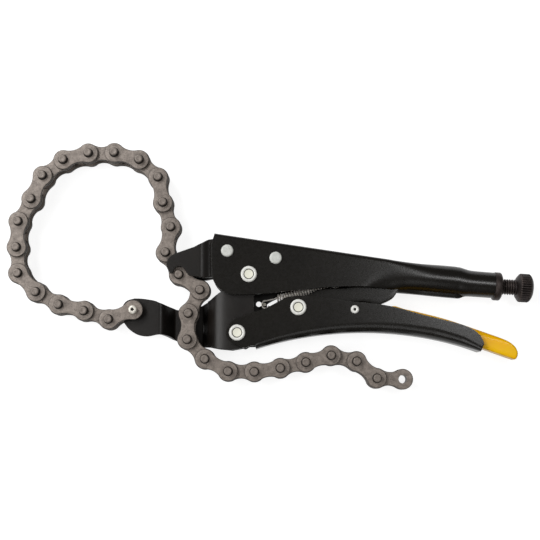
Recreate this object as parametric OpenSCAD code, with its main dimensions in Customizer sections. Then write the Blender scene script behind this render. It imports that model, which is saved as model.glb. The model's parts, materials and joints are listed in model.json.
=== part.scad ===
// Locking chain pliers, lying on their side.
// X runs from the chain loop to the adjusting knob, Y from the lower handle to the upper one.
// The origin is the axis of the jaw pivot, on the surface that the tool lies on.

/* [Handles] */
// Clear width inside both folded handles
handle_gap = 13.2; // [12.6:0.1:14.5]
// Sheet thickness of the upper handle
upper_wall = 2.2; // [1.8:0.1:2.4]
// Sheet thickness of the lower handle
lower_wall = 2; // [1.6:0.1:2.2]
// Rounding along the fold of the upper handle
fold_r = 4; // [2:0.5:5]
// Rounding along the fold of the lower handle
lower_fold_r = 3.5; // [2:0.5:4.5]
// Diameter of the round tail of the upper handle
tail_d = 15.8; // [15:0.1:17]

/* [Plates] */
// Thickness of the hook plates and the lower jaw plates
plate_t = 2.6; // [2.2:0.1:2.8]
// Side clearance between sliding sheets
side_play = 0.1; // [0.08:0.01:0.2]
// Radial clearance of a pivot in its hole
pivot_play = 0.06; // [0.03:0.01:0.1]

/* [Rivets] */
// Shank diameter of the large rivets at the pivots
pivot_d = 7; // [6:0.5:7.5]
// Head diameter of the large rivets
pivot_head_d = 10.4; // [9.5:0.1:11]
// Shank diameter of the two hook rivets
hook_rivet_d = 5; // [4:0.5:6]
// Head diameter of the hook rivets
hook_rivet_head_d = 8; // [7:0.1:9]
// Shank diameter of the toggle rivet
toggle_pin_d = 5.6; // [5:0.2:6]
// Shank diameter of the lever rivet
lever_pin_d = 3.6; // [3:0.2:4]
// Head diameter of the lever rivet
lever_head_d = 5.8; // [5:0.1:6.4]
// Height of a rivet head
head_h = 1.4; // [1:0.1:1.6]

/* [Chain] */
// Distance from pin to pin
pitch = 15.875; // [15.5:0.005:16.1]
// Diameter of the chain pins
pin_d = 5; // [4.6:0.1:5.2]
// Length that a pin stands proud of its outer plate
pin_end = 1.4; // [1:0.1:1.5]
// Height of an inner plate at its eyes
inner_plate_h = 12.6; // [12:0.1:13.4]
// Height of an outer plate at its eyes
outer_plate_h = 12; // [11.4:0.1:12.8]
// Height of a plate at its waist
waist_h = 8.2; // [7.4:0.1:9]
// Thickness of a chain plate
link_t = 1.7; // [1.4:0.1:1.8]
// Clear width between the inner plates
inner_w = 5; // [4.6:0.1:5.2]
// Side play between inner and outer plates
link_play = 0.3; // [0.25:0.01:0.35]
// Outer diameter of a roller
roller_d = 10; // [9:0.1:10.2]
// Outer diameter of a bush
bush_d = 7.2; // [6.8:0.1:7.6]

/* [Adjusting screw] */
// Outer diameter of the thread
screw_d = 9.6; // [9:0.1:10]
// Diameter of the knurled knob
knob_d = 17.4; // [16:0.1:18]
// Length of the knob
knob_l = 9.6; // [8:0.1:11]
// Bare length of thread between collar and knob
thread_l = 8.4; // [6:0.1:10]

/* [Spring] */
// Wire diameter of the return spring
wire_d = 0.9; // [0.8:0.05:1]
// Mean diameter of the spring's turns
coil_d = 4.2; // [4:0.1:4.6]
// Turns of the return spring
coil_turns = 24; // [20:1:25]

/* [Hidden] */
$fn = 64;
LINKS = 30;
function link_name(k) = str("chain_link_", k < 10 ? "0" : "", k);

black = [0.07, 0.07, 0.075];
steel = [0.78, 0.78, 0.76];
chain_grey = [0.30, 0.28, 0.26];
yellow = [0.96, 0.72, 0.08];

// Heights, counted from the middle plane of the tool
half_gap = handle_gap / 2;
upper_half = half_gap + upper_wall;
lower_half = half_gap + lower_wall;
plate_out = half_gap - side_play;
plate_in = plate_out - plate_t;
mid_z = upper_half + head_h;
neck_z = -mid_z;

// Places of the pivots, from the jaw pivot
jaw_pivot = [0, 0];
handle_pivot = [-7, -35.4];
toggle_pivot = [29.9, -20.1];
lever_pivot = [64, -21.4];
hook_rivets_at = [[-13.1, 14.2], [16.2, 9.8]];
anchor = [-70.2, -21.4];

// Chain: the heading of each link as it lies, from the anchor to the free end
headings = [201, 161, 166, 151, 134, 94, 87, 61, 65, 38, 15, 1, 344, 317, 281, 288, 259, 301, 324, 244,
            268, 312, 332, 359, 8, 13, 15, 347, 320, 358];
HOOKED_PIN = LINKS - 12;
CROSSING = HOOKED_PIN + 3;
function step_of(k) = pitch * [cos(headings[k]), sin(headings[k])];
function pin_at(k) = k == 0 ? anchor : pin_at(k - 1) + step_of(k - 1);
hook_seat = pin_at(HOOKED_PIN);

inner_out = inner_w / 2 + link_t;
outer_in = inner_out + link_play;
outer_out = outer_in + link_t;
chain_half = outer_out + pin_end;
// The tail rises within the links' side play to pass over the neck, then sinks again
play_step = link_play * 2 / 3;
crossing_rise = play_step * 2;
function link_z(k) =
    k < HOOKED_PIN + 2 ? 0
    : k <= CROSSING + 1 ? min(crossing_rise, play_step * (k - HOOKED_PIN - 1))
    : crossing_rise - play_step * (k - CROSSING - 1);

// The screw's axis, which slopes down to the knob
screw_tilt = -3.5;
tail_end = [151.3, -6.5];
screw_dir = [cos(screw_tilt), sin(screw_tilt)];
collar_l = 3.6;
tip_reach = 54;

fork_clear = 0.4;
fork_in = outer_out + fork_clear;
fork_out = fork_in + plate_t;

module at_mid() {
    translate([0, 0, mid_z]) children();
}

// A flat piece between two heights
module slab(low, high) {
    translate([0, 0, low]) linear_extrude(high - low) children();
}

// A bent strip seen from the edge, X along and Z up, carried across in Y
module bent_sheet(points) {
    rotate([90, 0, 0]) translate([0, 0, -80]) linear_extrude(160) polygon(points);
}

// A rivet through the tool, with a head at each end
module rivet(shank_d, head_d, inner, outer) {
    cylinder(h = 2 * inner, d = shank_d, center = true);
    for (s = [0, 1]) mirror([0, 0, s]) translate([0, 0, inner]) {
        crown = (outer - inner) / 2;
        cylinder(h = outer - inner - crown, d = head_d);
        translate([0, 0, outer - inner - crown]) cylinder(h = crown, d1 = head_d, d2 = head_d - 2 * crown);
    }
}

module tube(h, outer_d, inner_d) {
    difference() {
        cylinder(h = h, d = outer_d, center = true);
        cylinder(h = h + 1, d = inner_d, center = true);
    }
}

// Places a child on the screw's axis, with X along it and 0 at the end of the handle
module on_screw() {
    translate(tail_end) rotate([0, 0, screw_tilt]) rotate([0, 90, 0]) children();
}

// Upper handle
top_front = [-21.4, 23.2];
top_bend = [92, 6.7];
top_dir = (top_bend - top_front) / norm(top_bend - top_front);
top_normal = [-top_dir[1], top_dir[0]];
front_corner_r = 15;

module upper_side2d() {
    difference() {
        polygon([
            top_front, top_bend, [104, 5.8], [126.3, 0], [132.4, -12.8], [126.3, -14.6], [90.9, -11], [84.2, -9.2],
            [70, -8.3], [55.5, -8.4], [43, -9.6], [31.1, -11.3], [18, -12.3], [-2.4, -12.5], [-20.4, -12.5]]);
        // the front lower corner is round
        difference() {
            translate([-22, -13]) square([19, 15.5]);
            translate([-20.4 + front_corner_r, -12.5 + front_corner_r]) circle(front_corner_r);
            translate([-20.4 + front_corner_r, -14]) square([20, 20]);
        }
    }
}

// What is cut away to round a fold that runs from a to b, on the outside of a half width
module fold_cut(a, b, r, half) {
    d = b - a;
    translate(a) rotate([0, 0, atan2(d[1], d[0])]) for (s = [0, 1]) mirror([0, 0, s])
        translate([-5, 0, half - r]) difference() {
            translate([0, -r, 0]) cube([norm(d) + 10, r + 1, r + 1]);
            translate([-1, -r, 0]) rotate([0, 90, 0]) cylinder(h = norm(d) + 12, r = r);
        }
}

module upper_handle() {
    tail_l = 56;
    tail_sink = 0.4;
    cavity_end = 101;
    color(black) at_mid() difference() {
        union() {
            difference() {
                slab(-upper_half, upper_half) upper_side2d();
                fold_cut(top_front, top_bend, fold_r, upper_half);
            }
            on_screw() translate([0, 0, -tail_l]) cylinder(h = tail_l, d1 = 2 * (upper_half - tail_sink), d2 = tail_d);
        }
        // the open channel under the fold
        slab(-half_gap, half_gap) polygon([
            top_front - upper_wall * top_normal - 10 * top_dir, top_bend - upper_wall * top_normal,
            [cavity_end, top_bend[1] - upper_wall - 1], [cavity_end, -40], [-40, -40]]);
        // the seam under the tail, where the folded edges meet
        slab(-0.8, 0.8) polygon([[95, -8], [tail_end[0] + 2, -11], [tail_end[0] + 2, -20], [95, -20]]);
        on_screw() translate([0, 0, -70]) cylinder(h = 80, d = screw_d + 4 * pivot_play);
        for (p = hook_rivets_at) translate(p) cylinder(h = 40, d = hook_rivet_d, center = true);
        cylinder(h = 40, d = pivot_d, center = true);
    }
}

// Hook plates: a fork that takes one pin of the chain in its notch
hook_bend = [-23.5, -29.5];
notch_r = pin_d / 2 + 1;

module hook2d() {
    s = hook_seat;
    difference() {
        polygon([
            [-13, 19], [-21.4, 20.6], [-25, 20.4], [-29, 18.2], [-33, 16.4], s + [-0.5, 13], s + [-4.5, 11],
            s + [-6.6, 8.6], s + [-7.2, 5.6], s + [-6.6, 2.6], s + [-5, 0.4], s + [-3.4, 1.6],
            s + [0, 1], s + [4, 1], s + [6.6, -1], [-27.5, 0], [-21, 0.6], [-15, 4], [-9, 9.6], [9, 8.4], [13, 5],
            [20, 4.2], [22.5, 8], [21.5, 13.2]]);
        translate(s + [0.4, 1.2]) circle(notch_r);
        polygon([s + [-notch_r + 0.4, 1.2], s + [0.4, 1.2] + notch_r * [cos(50), sin(50)], s + [8, -3], s + [-2.4, -3]]);
        for (p = hook_rivets_at) translate(p) circle(d = hook_rivet_d);
    }
}

module hook_plate(side) {
    color(black) at_mid() intersection() {
        slab(-20, 20) hook2d();
        mirror([0, 0, side]) bent_sheet([
            [40, plate_in], [hook_bend[0], plate_in], [hook_bend[1], fork_in], [-90, fork_in],
            [-90, fork_out], [hook_bend[1] - 0.6, fork_out], [hook_bend[0] - 0.6, plate_out], [40, plate_out]]);
    }
}

module hook_rivets() {
    color(steel) at_mid() for (p = hook_rivets_at) translate(p)
        rivet(hook_rivet_d, hook_rivet_head_d, upper_half, mid_z);
}

module hook_spacers() {
    color(steel) at_mid() for (p = hook_rivets_at) translate(p)
        tube(2 * plate_in, hook_rivet_d + 3, hook_rivet_d);
}

module jaw_pivot_rivet() {
    color(steel) at_mid() rivet(pivot_d, pivot_head_d, upper_half, mid_z);
}

module thread_collar() {
    color(black) at_mid() on_screw() difference() {
        cylinder(h = collar_l, d = tail_d + 0.6);
        translate([0, 0, -1]) cylinder(h = collar_l + 2, d = screw_d + 4 * pivot_play);
    }
}

// Lower jaw: two pressed plates, of which the rear one carries the neck and the lug
boss_r = 8;
heel_r = 10.6;
lug_r = 7.4;
front_edge = 3;
rear_edge = 11;

// The edge that both plates share, from the pivot round the heel to the neck
function jaw_edge(right) = [
    [-17.7, -45], [-10, -45], [-3, -44], [2.5, -37.5], [right, -28], [right, -14], [7, -1.5], [0, 7], [-6, 4.5],
    [-16.5, -10.4], [-22.6, -15.9]];

module jaw_bosses2d() {
    translate(jaw_pivot) circle(boss_r);
    translate(handle_pivot) circle(heel_r);
}

module jaw_front2d() {
    jaw_bosses2d();
    polygon(concat([[-27, -17], [-27, -43.4]], jaw_edge(front_edge)));
}

module jaw_rear2d() {
    jaw_bosses2d();
    translate(anchor) circle(lug_r);
    polygon(concat(
        [[-31, -19], [-43, -21], [-51.2, -18.3], [-57, -15.6], [-62, -14.6], anchor + [0, lug_r - 0.5],
         anchor + [-lug_r + 0.5, 0], [-76, -29.4], [-73, -33], [-68, -36.2], [-62, -37.2], [-55, -36], [-50, -37],
         [-45, -39.6], [-38, -42], [-31, -43.3], [-24, -43.6]],
        jaw_edge(rear_edge)));
}

module lower_jaw_rear() {
    top = neck_z + plate_t;
    lug_half = plate_t / 2;
    color(black) at_mid() difference() {
        intersection() {
            slab(-20, 20) jaw_rear2d();
            bent_sheet([
                [40, -plate_out], [-23, -plate_out], [-28, neck_z], [-46.5, neck_z], [-55, -lug_half], [-90, -lug_half],
                [-90, lug_half], [-54, lug_half], [-45.5, top], [-28.6, top], [-23.6, -plate_in], [40, -plate_in]]);
        }
        cylinder(h = 40, d = pivot_d + 2 * pivot_play, center = true);
        translate(handle_pivot) cylinder(h = 40, d = pivot_d, center = true);
        translate(anchor) cylinder(h = 40, d = pin_d + 2 * pivot_play, center = true);
        translate(spring_hook_at) cylinder(h = 40, d = hook_pin_d, center = true);
        translate(hook_hole_at) cylinder(h = 40, d = hook_hole_d, center = true);
    }
}

module lower_jaw_front() {
    color(black) at_mid() difference() {
        intersection() {
            slab(-20, 20) jaw_front2d();
            bent_sheet([
                [40, plate_out], [-16.5, plate_out], [-19.4, plate_out - 1.2], [-21.4, plate_out - 4], [-26.4, -plate_in],
                [-23.2, -plate_in], [-18.8, plate_in - 0.8], [-16.5, plate_in], [40, plate_in]]);
        }
        cylinder(h = 40, d = pivot_d + 2 * pivot_play, center = true);
        translate(handle_pivot) cylinder(h = 40, d = pivot_d, center = true);
    }
}

module jaw_spacer() {
    color(steel) at_mid() tube(2 * plate_in, pivot_d + 4, pivot_d + 2 * pivot_play);
}

module handle_pivot_rivet() {
    color(steel) at_mid() translate(handle_pivot) rivet(pivot_d, pivot_head_d, lower_half + side_play, mid_z);
}

module handle_spacer() {
    color(steel) at_mid() translate(handle_pivot) tube(2 * plate_in, pivot_d + 4, pivot_d);
}

module anchor_washers() {
    gap = outer_in - plate_t / 2 - 2 * side_play;
    color(chain_grey) at_mid() translate(anchor) for (s = [-1, 1])
        translate([0, 0, s * (plate_t / 2 + side_play + gap / 2)]) tube(gap, pin_d + 4, pin_d + 2 * pivot_play);
}

// Lower handle: a channel that opens towards the upper handle, with its fold on one long arc
ear_r = 7;
fold_crown = [72.6, -34.7];
fold_arc_r = 225.6;
fold_centre = fold_crown - [0, fold_arc_r];
fold_start = 4.3;

module lower_side2d() {
    difference() {
        polygon([
            handle_pivot + [-5.4, 3.1], [-8.4, -27], [-2, -24.2], [5.5, -22.2], [10.4, -20.8], [14.6, -18.6], [19.4, -15.8],
            [25, -13.6], [36, -13.2], [48, -14.2],
            [63, -16.8], [78.4, -20.2], [95, -24.2], [116.5, -29.6], [134, -35.2], [140, -39], [142.4, -43.6],
            [141.4, -50], [fold_start, -50], [fold_start, -41], handle_pivot + [1, -6], handle_pivot + [-5.4, -3.1]]);
        translate(fold_centre) circle(fold_arc_r, $fn = 720);
    }
}

// What is cut away to round the fold
module lower_fold_cut() {
    r = lower_fold_r;
    translate(fold_centre) for (s = [0, 1]) mirror([0, 0, s]) rotate_extrude($fn = 720) difference() {
        translate([fold_arc_r - 1, lower_half - r]) square([r + 1, r + 1]);
        translate([fold_arc_r + r, lower_half - r]) circle(r);
    }
}

module lower_handle() {
    color(black) at_mid() difference() {
        union() {
            slab(-lower_half, lower_half) lower_side2d();
            translate(handle_pivot) cylinder(h = 2 * lower_half, r = ear_r, center = true);
        }
        slab(-half_gap, half_gap) difference() {
            translate([-40, -60]) square([200, 60]);
            intersection() {
                translate(fold_centre) circle(fold_arc_r + lower_wall, $fn = 720);
                translate([fold_start, -80]) square([200, 80]);
            }
        }
        lower_fold_cut();
        translate(handle_pivot) cylinder(h = 40, d = pivot_d + 2 * pivot_play, center = true);
        translate(toggle_pivot) cylinder(h = 40, d = toggle_pin_d, center = true);
        translate(lever_pivot) cylinder(h = 40, d = lever_pin_d, center = true);
    }
}

module toggle_rivet() {
    color(steel) at_mid() translate(toggle_pivot) rivet(toggle_pin_d, pivot_head_d, lower_half, mid_z);
}

module lever_rivet() {
    color(steel) at_mid() translate(lever_pivot) rivet(lever_pin_d, lever_head_d, lower_half, mid_z - 0.4);
}

module lever_washers() {
    w = half_gap - lever_half - 2 * side_play;
    color(steel) at_mid() translate(lever_pivot) for (s = [-1, 1])
        translate([0, 0, s * (lever_half + side_play + w / 2)]) tube(w, lever_pin_d + 3.4, lever_pin_d + 2 * pivot_play);
}

// Toggle link: from the lower handle to the point of the screw
toggle_half = 5;
toggle_eye_r = 5.2;
toggle_nose_r = 3.2;
tip_gap = 0.7;
tip_at = tail_end - tip_reach * screw_dir;

module toggle_link() {
    nose = tip_at - (tip_gap + toggle_nose_r) * screw_dir;
    color(black) at_mid() difference() {
        union() {
            slab(-toggle_half, toggle_half) polygon([
                toggle_pivot + [-3.4, 3.4], toggle_pivot + [0, 5], [46, -12.4], [60, -9.2], nose + [0, 3],
                nose + [2, -1.8], [88, -11.6], [82, -17], [77.4, -18.6], [70, -16.6], [58, -17.2], [46, -21],
                toggle_pivot + [0, -5], toggle_pivot + [-3.4, -3.4]]);
            translate(toggle_pivot) cylinder(h = 2 * toggle_half, r = toggle_eye_r, center = true);
            translate(nose) cylinder(h = 2 * toggle_half, r = toggle_nose_r, center = true);
        }
        translate(toggle_pivot) cylinder(h = 40, d = toggle_pin_d + 2 * pivot_play, center = true);
    }
}

// Release lever, with a dipped sleeve on its long arm
lever_half = 4;
sleeve_t = 1;

lever_eye_r = 4.4;
lever_clear = 0.5;
lever_stations = [142, 128, 116, 104, 92];

// Height above the channel's floor, which follows the arc of the fold
function over_floor(x, up) = [x, fold_centre[1] + sqrt((fold_arc_r + lower_wall) ^ 2 - (x - fold_centre[0]) ^ 2) + up];

module lever2d() {
    polygon(concat(
        [lever_pivot + [-2.8, 2.8], lever_pivot + [-1, 3.8], [68, -19.4], [86, -22.4], [116, -29.6], [136, -34.8],
         [150, -39], [158.8, -43.6], [161.4, -47], [160.4, -50.2]],
        [for (x = lever_stations) over_floor(x, lever_clear + sleeve_t)],
        [[71, -30], lever_pivot + [-1.6, -3.2], lever_pivot + [-2.8, -2.8]]));
}

module sleeve2d() {
    polygon(concat(
        [[80, -20.4], [86, -20.5], [91, -22.2], [116, -27.9], [137, -33.4], [150.6, -38], [159.6, -42.6], [163, -46.6],
         [161.6, -51.8]],
        [for (x = lever_stations) over_floor(x, lever_clear)],
        [over_floor(80, lever_clear)]));
}

module release_lever() {
    color(steel) at_mid() difference() {
        union() {
            slab(-lever_half, lever_half) lever2d();
            translate(lever_pivot) cylinder(h = 2 * lever_half, r = lever_eye_r, center = true);
        }
        translate(lever_pivot) cylinder(h = 40, d = lever_pin_d + 2 * pivot_play, center = true);
    }
}

module lever_sleeve() {
    color(yellow) at_mid() difference() {
        slab(-lever_half - sleeve_t, lever_half + sleeve_t) sleeve2d();
        slab(-lever_half, lever_half) lever2d();
    }
}

// Adjusting screw with its knurled knob
module adjusting_screw() {
    neck_l = 1.6;
    flutes = 36;
    flute_r = 0.7;
    color(black) at_mid() on_screw() {
        translate([0, 0, -tip_reach + 2]) cylinder(h = tip_reach + collar_l + thread_l, d = screw_d);
        translate([0, 0, -tip_reach]) cylinder(h = 2, d1 = screw_d - 4, d2 = screw_d);
        translate([0, 0, collar_l + thread_l]) {
            cylinder(h = neck_l, d1 = screw_d + 3, d2 = knob_d - 1);
            translate([0, 0, neck_l]) difference() {
                cylinder(h = knob_l - 2 * neck_l, d = knob_d);
                for (i = [0:flutes - 1]) rotate([0, 0, 360 * i / flutes]) translate([knob_d / 2 + 0.3, 0, -1])
                    cylinder(h = knob_l, r = flute_r, $fn = 16);
            }
            translate([0, 0, knob_l - neck_l]) cylinder(h = neck_l, d1 = knob_d - 1, d2 = knob_d - 4);
        }
    }
}

// Return spring, from a pin on the lower jaw to a post in the upper handle
spring_hook_at = [9.4, -18];
spring_post_at = [53, -5.6];
hook_pin_d = 2;
hook_hole_at = [5.9, -18.8];
hook_hole_d = 4.2;
post_d = 3;

module spring_post() {
    color(steel) at_mid() translate(spring_post_at) cylinder(h = handle_gap, d = post_d, center = true);
}

module spring_hook_pin() {
    color(steel) at_mid() translate(concat(spring_hook_at, [-plate_out])) cylinder(h = plate_out + plate_in, d = hook_pin_d);
}

RINGS = 8;
SIDES = 6;
spring_run = spring_post_at - spring_hook_at;
spring_turn = atan2(spring_run[1], spring_run[0]);
leg_gap = 0.3;
hook_leg = 6;
post_leg = 3;
spring_start = hook_pin_d / 2 + leg_gap;
spring_stop = norm(spring_run) - post_d / 2 - leg_gap;
coil_start = spring_start + hook_leg;
coil_stop = spring_stop - post_leg;
coil_pitch = (coil_stop - coil_start) / coil_turns;

// Centre line: a straight leg on the axis, the turns, and a straight leg again
function coil_point(t) = let (
        grow = min(1, t, coil_turns - t),
        r = coil_d / 2 * max(0, min(1, 2 * grow)))
    [coil_start + coil_pitch * t, r * cos(360 * t), r * sin(360 * t)];
coil_path = concat(
    [[spring_start, 0, 0], [spring_start + wire_d, 0, 0]],
    [for (i = [0:coil_turns * RINGS]) coil_point(i / RINGS)],
    [[spring_stop - wire_d, 0, 0], [spring_stop, 0, 0]]);

function unit(v) = v / norm(v);
function tangent(path, i) = unit(path[min(i + 1, len(path) - 1)] - path[max(i - 1, 0)]);
function ring(p, t, r, n) = let (
        u = unit(cross(t, [0.3, 0.2, 0.93])),
        v = cross(t, u))
    [for (k = [0:n - 1]) p + r * (cos(360 * k / n) * u + sin(360 * k / n) * v)];

module swept(path, r, n) {
    rings = len(path);
    points = [for (i = [0:rings - 1]) each ring(path[i], tangent(path, i), r, n)];
    sides = [for (i = [0:rings - 2]) for (k = [0:n - 1])
        let (a = i * n + k, b = i * n + (k + 1) % n)
        each [[a, b, b + n], [a, b + n, a + n]]];
    first = [for (k = [1:n - 2]) [0, k + 1, k]];
    last = [for (k = [1:n - 2]) [(rings - 1) * n, (rings - 1) * n + k, (rings - 1) * n + k + 1]];
    polyhedron(points, [for (f = concat(sides, first, last)) [f[0], f[2], f[1]]]);
}

module return_spring() {
    color(steel) at_mid() translate(spring_hook_at) rotate([0, 0, spring_turn]) swept(coil_path, wire_d / 2, SIDES);
}

// The least gap of the wire to itself, on points at least three quarters of a turn apart
apart = RINGS * 3 / 4;
last_point = len(coil_path) - 1;
echo(least_spring_gap = min([
    for (i = [0:last_point - apart]) for (j = [i + apart:last_point]) norm(coil_path[i] - coil_path[j])]) - wire_d);

// Chain links: odd ones have outer plates and pins, even ones inner plates, bushes and rollers
module link2d(eye_h) {
    waist_r = 9;
    difference() {
        union() {
            circle(d = eye_h);
            translate([pitch, 0]) circle(d = eye_h);
            translate([0, -eye_h / 2 + 0.8]) square([pitch, eye_h - 1.6]);
        }
        for (s = [-1, 1]) translate([pitch / 2, s * (waist_h / 2 + waist_r)]) circle(waist_r);
    }
}

module chain_pin() {
    rise = 0.5;
    cylinder(h = 2 * (chain_half - rise), d = pin_d, center = true);
    for (s = [0, 1]) mirror([0, 0, s]) translate([0, 0, chain_half - rise])
        cylinder(h = rise, d1 = pin_d, d2 = pin_d - 2 * rise);
}

module outer_link() {
    for (s = [0, 1]) mirror([0, 0, s]) slab(outer_in, outer_out) link2d(outer_plate_h);
    for (x = [0, pitch]) translate([x, 0, 0]) chain_pin();
}

module inner_link() {
    bore = pin_d + 2 * pivot_play;
    difference() {
        union() {
            for (s = [0, 1]) mirror([0, 0, s]) slab(inner_w / 2, inner_out) link2d(inner_plate_h);
            for (x = [0, pitch]) translate([x, 0, 0]) cylinder(h = 2 * inner_out, d = bush_d, center = true);
        }
        for (x = [0, pitch]) translate([x, 0, 0]) cylinder(h = 40, d = bore, center = true);
    }
    for (x = [0, pitch]) translate([x, 0, 0])
        tube(inner_w - 2 * side_play, roller_d, bush_d + 2 * pivot_play);
}

module chain_link(k) {
    color(chain_grey) at_mid() translate(concat(pin_at(k - 1), [link_z(k)])) rotate([0, 0, headings[k - 1]])
        if (k % 2 == 1) outer_link(); else inner_link();
}

upper_handle();
hook_plate(0);  // hook_plate_front
hook_plate(1);  // hook_plate_rear
hook_rivets();
hook_spacers();
jaw_pivot_rivet();
thread_collar();
spring_post();
lower_jaw_front();
lower_jaw_rear();
jaw_spacer();
handle_pivot_rivet();
handle_spacer();
spring_hook_pin();
anchor_washers();
lower_handle();
toggle_rivet();
lever_rivet();
lever_washers();
toggle_link();
release_lever();
lever_sleeve();
adjusting_screw();
return_spring();
for (k = [1:LINKS])
    chain_link(k);
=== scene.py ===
"""Locking chain pliers, dressed: surfaces, finishes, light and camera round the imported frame."""
import json
import math

import bmesh
import bpy
import numpy as np
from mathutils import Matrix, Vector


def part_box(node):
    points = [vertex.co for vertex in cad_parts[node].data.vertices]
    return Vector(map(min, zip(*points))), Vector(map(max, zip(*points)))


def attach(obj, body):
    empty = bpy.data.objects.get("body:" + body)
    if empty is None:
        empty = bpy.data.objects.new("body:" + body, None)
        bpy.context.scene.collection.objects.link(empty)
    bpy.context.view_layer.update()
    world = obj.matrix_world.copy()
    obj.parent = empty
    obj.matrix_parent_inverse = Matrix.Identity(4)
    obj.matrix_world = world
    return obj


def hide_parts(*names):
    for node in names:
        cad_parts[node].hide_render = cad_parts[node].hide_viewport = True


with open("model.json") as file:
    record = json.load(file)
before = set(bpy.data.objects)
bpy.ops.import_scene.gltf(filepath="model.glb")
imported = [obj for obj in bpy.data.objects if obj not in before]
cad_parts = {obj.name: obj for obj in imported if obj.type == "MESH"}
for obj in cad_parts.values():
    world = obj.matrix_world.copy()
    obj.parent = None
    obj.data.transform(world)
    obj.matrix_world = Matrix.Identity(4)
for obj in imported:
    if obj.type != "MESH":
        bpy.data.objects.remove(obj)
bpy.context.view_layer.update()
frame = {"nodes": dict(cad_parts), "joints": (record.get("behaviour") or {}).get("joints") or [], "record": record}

# A millimetre in metres, and the height of the tool's middle plane over the floor in millimetres.
MM = 0.001
MID_Z = 10.2
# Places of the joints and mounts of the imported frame, in millimetres.
joints = {j["name"]: np.array(j["pos_m"]) / MM for j in frame["joints"] if "pos_m" in j}
mounts = {m["name"]: np.array(m["pos_m"]) / MM for m in frame["record"]["mounts"]}


# Curves and surfaces. Lengths are in millimetres, and Z counts from the middle plane of the tool.

def resample(curve, count):
    """Points at even steps of length along a polyline."""
    curve = np.asarray(curve, float)
    run = np.concatenate([[0], np.cumsum(np.linalg.norm(np.diff(curve, axis=0), axis=1))])
    at = np.linspace(0, run[-1], count)
    return np.stack([np.interp(at, run, curve[:, i]) for i in range(curve.shape[1])], axis=1)


def through(points, count, steps=16):
    """Catmull-Rom cubic through the points: each span leaves and arrives along the line between the
    neighbours, then even steps of length."""
    p = np.asarray(points, float)
    p = np.vstack([2 * p[0] - p[1], p, 2 * p[-1] - p[-2]])
    t = np.linspace(0, 1, steps, endpoint=False)[None, :, None]
    a, b, c, d = p[:-3, None], p[1:-2, None], p[2:-1, None], p[3:, None]
    square = 2 * a - 5 * b + 4 * c - d
    cube = 3 * b - a - 3 * c + d
    span = 0.5 * (2 * b + (c - a) * t + square * t ** 2 + cube * t ** 3)
    return resample(np.vstack([span.reshape(-1, p.shape[1]), p[-2:-1]]), count)


def arc(centre, radius, start, stop, count):
    """Points on a circle between two angles in degrees."""
    a = np.radians(np.linspace(start, stop, count))
    return np.asarray(centre) + radius * np.stack([np.cos(a), np.sin(a)], axis=1)


def ramp(x, start, stop):
    """Smooth step from 0 at start to 1 at stop: 3t squared less 2t cubed."""
    t = np.clip((x - start) / (stop - start), 0, 1)
    return t * t * (3 - 2 * t)


def coons(south, north, west, east):
    """Patch between four edges: the two blends of opposite edges, less the blend of the four corners."""
    u = np.linspace(0, 1, len(south))[:, None, None]
    v = np.linspace(0, 1, len(west))[None, :, None]
    along = (1 - v) * south[:, None] + v * north[:, None]
    across = (1 - u) * west[None] + u * east[None]
    corners = ((1 - u) * (1 - v) * south[0] + u * (1 - v) * south[-1]
               + (1 - u) * v * north[0] + u * v * north[-1])
    return along + across - corners


def raised(flat, z):
    """Adds a height to points in the plane."""
    return np.concatenate([flat, np.broadcast_to(np.asarray(z, float), flat.shape[:-1])[..., None]], axis=-1)


def sheet(points, wrap_u=False, wrap_v=False, keep=None, wear_and_shade=None):
    """A grid of points with its quads: the four neighbours of each cell, closed round where it wraps."""
    nu, nv = points.shape[:2]
    i, j = np.meshgrid(np.arange(nu - (not wrap_u)), np.arange(nv - (not wrap_v)), indexing="ij")
    k, m = (i + 1) % nu, (j + 1) % nv
    quads = np.stack([i * nv + j, k * nv + j, k * nv + m, i * nv + m], axis=-1)
    if keep is not None:
        quads = quads[keep[:quads.shape[0], :quads.shape[1]]]
    wear_and_shade = np.zeros((nu, nv)) if wear_and_shade is None else np.broadcast_to(wear_and_shade, (nu, nv))
    return points.reshape(-1, 3), quads.reshape(-1, 4), wear_and_shade.reshape(-1)


def mirrored(near):
    """A channel's near half and its image beyond the middle plane. Both share the middle line."""
    return np.concatenate([near, near[:, -2::-1] * [1, 1, -1]], axis=1)


FLUTE_POWER = 8


def turned(profile, origin, axis=(0, 0, 1), sides=48, flute=None, flutes=36, wear_and_shade=0.0):
    """Turned piece: radius and height pairs carried round an axis. A flute takes its depth off the radius
    in a rounded comb: depth times an even power of the cosine of half the flutes times the angle."""
    profile = np.asarray(profile, float)
    w = np.asarray(axis, float) / np.linalg.norm(axis)
    u = np.cross(w, [0.0, 0.0, 1.0]) if abs(w[2]) < 0.9 else np.array([1.0, 0.0, 0.0])
    u = u / np.linalg.norm(u)
    v = np.cross(w, u)
    a = np.linspace(0, 2 * math.pi, sides, endpoint=False)
    depth = np.zeros(len(profile)) if flute is None else np.asarray(flute, float)
    r = profile[:, :1] - depth[:, None] * np.cos(a * flutes / 2)[None] ** FLUTE_POWER
    points = (np.asarray(origin) + r[..., None] * (np.cos(a)[:, None] * u + np.sin(a)[:, None] * v)[None]
              + profile[:, 1, None, None] * w)
    wear_and_shade = np.broadcast_to(np.asarray(wear_and_shade, float), (len(profile),))
    return sheet(points, wrap_v=True, wear_and_shade=wear_and_shade[:, None])


# Where a slab's face has its ring of points between spine and rim, and how many rim radii the rim's value reaches
# in, which the chain's finish paints as shade.
FACE_RING = 0.6
RIM_SHADE_REACH = 1.5


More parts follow.
